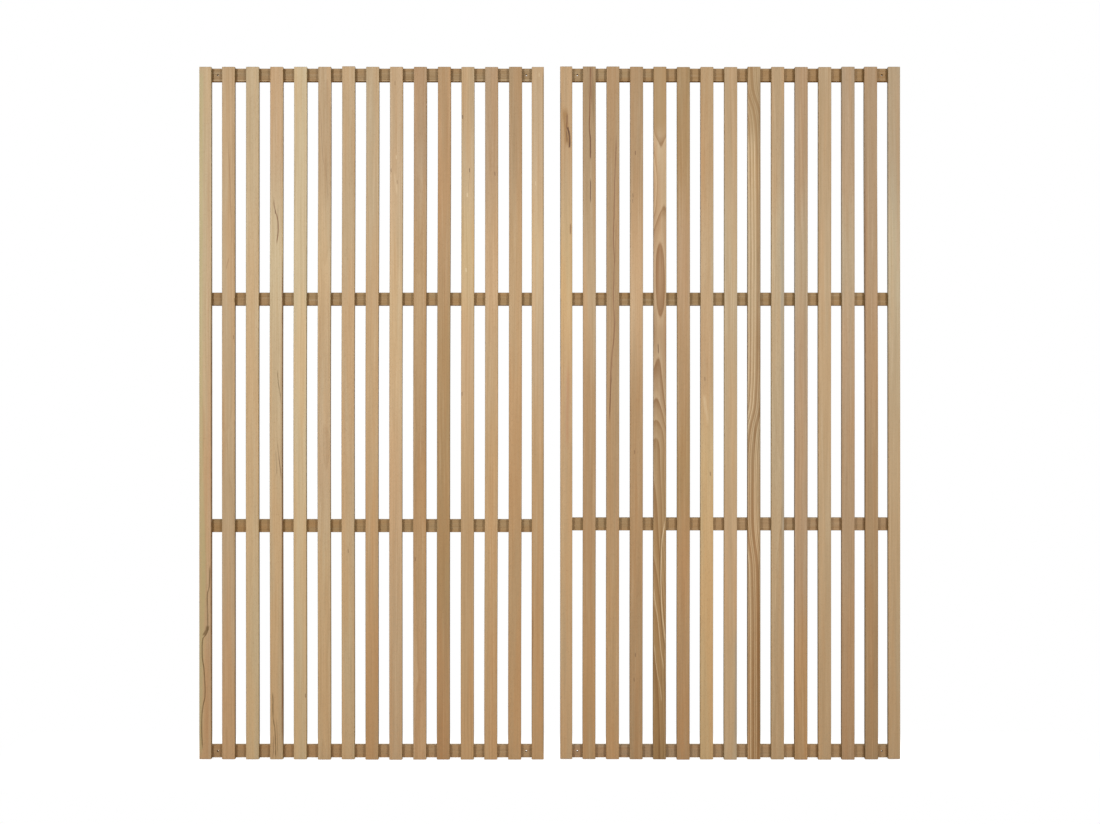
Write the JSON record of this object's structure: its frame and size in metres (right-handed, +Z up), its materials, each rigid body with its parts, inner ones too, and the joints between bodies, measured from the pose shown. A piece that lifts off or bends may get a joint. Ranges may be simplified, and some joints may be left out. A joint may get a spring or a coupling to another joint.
{
  "type": "slatted headboard",
  "caption": "Wall-hung wooden headboard of tall panels, side by side, of spaced upright slats screwed to level rails behind them.",
  "frame": {"origin": "under the middle of the pair, level with the slats' bottom ends, midway between the outermost faces front to back", "axes": "+X to the right seen from the front, -Y out of the front, +Y into the wall, +Z up along the slats"},
  "size_m": [1.617, 0.036, 1.6],
  "materials": {
    "slat_wood": "planed beech, bare, satin",
    "rail_wood": "planed beech, bare, matte",
    "screw_steel": "zinc-plated, satin"
  },
  "bodies": {
    "root": {"left_slat_01": "slat_wood", "left_slat_02": "slat_wood", "left_slat_03": "slat_wood", "left_slat_04": "slat_wood", "left_slat_05": "slat_wood", "left_slat_06": "slat_wood", "left_slat_07": "slat_wood", "left_slat_08": "slat_wood", "left_slat_09": "slat_wood", "left_slat_10": "slat_wood", "left_slat_11": "slat_wood", "left_slat_12": "slat_wood", "left_slat_13": "slat_wood", "left_slat_14": "slat_wood", "left_slat_15": "slat_wood", "right_slat_01": "slat_wood", "right_slat_02": "slat_wood", "right_slat_03": "slat_wood", "right_slat_04": "slat_wood", "right_slat_05": "slat_wood", "right_slat_06": "slat_wood", "right_slat_07": "slat_wood", "right_slat_08": "slat_wood", "right_slat_09": "slat_wood", "right_slat_10": "slat_wood", "right_slat_11": "slat_wood", "right_slat_12": "slat_wood", "right_slat_13": "slat_wood", "right_slat_14": "slat_wood", "right_slat_15": "slat_wood", "left_bottom_rail": "rail_wood", "left_lower_rail": "rail_wood", "left_upper_rail": "rail_wood", "left_top_rail": "rail_wood", "right_bottom_rail": "rail_wood", "right_lower_rail": "rail_wood", "right_upper_rail": "rail_wood", "right_top_rail": "rail_wood", "left_bottom_rail_screws": "screw_steel", "left_lower_rail_screws": "screw_steel", "left_upper_rail_screws": "screw_steel", "left_top_rail_screws": "screw_steel", "right_bottom_rail_screws": "screw_steel", "right_lower_rail_screws": "screw_steel", "right_upper_rail_screws": "screw_steel", "right_top_rail_screws": "screw_steel"}
  },
  "joints": []
}
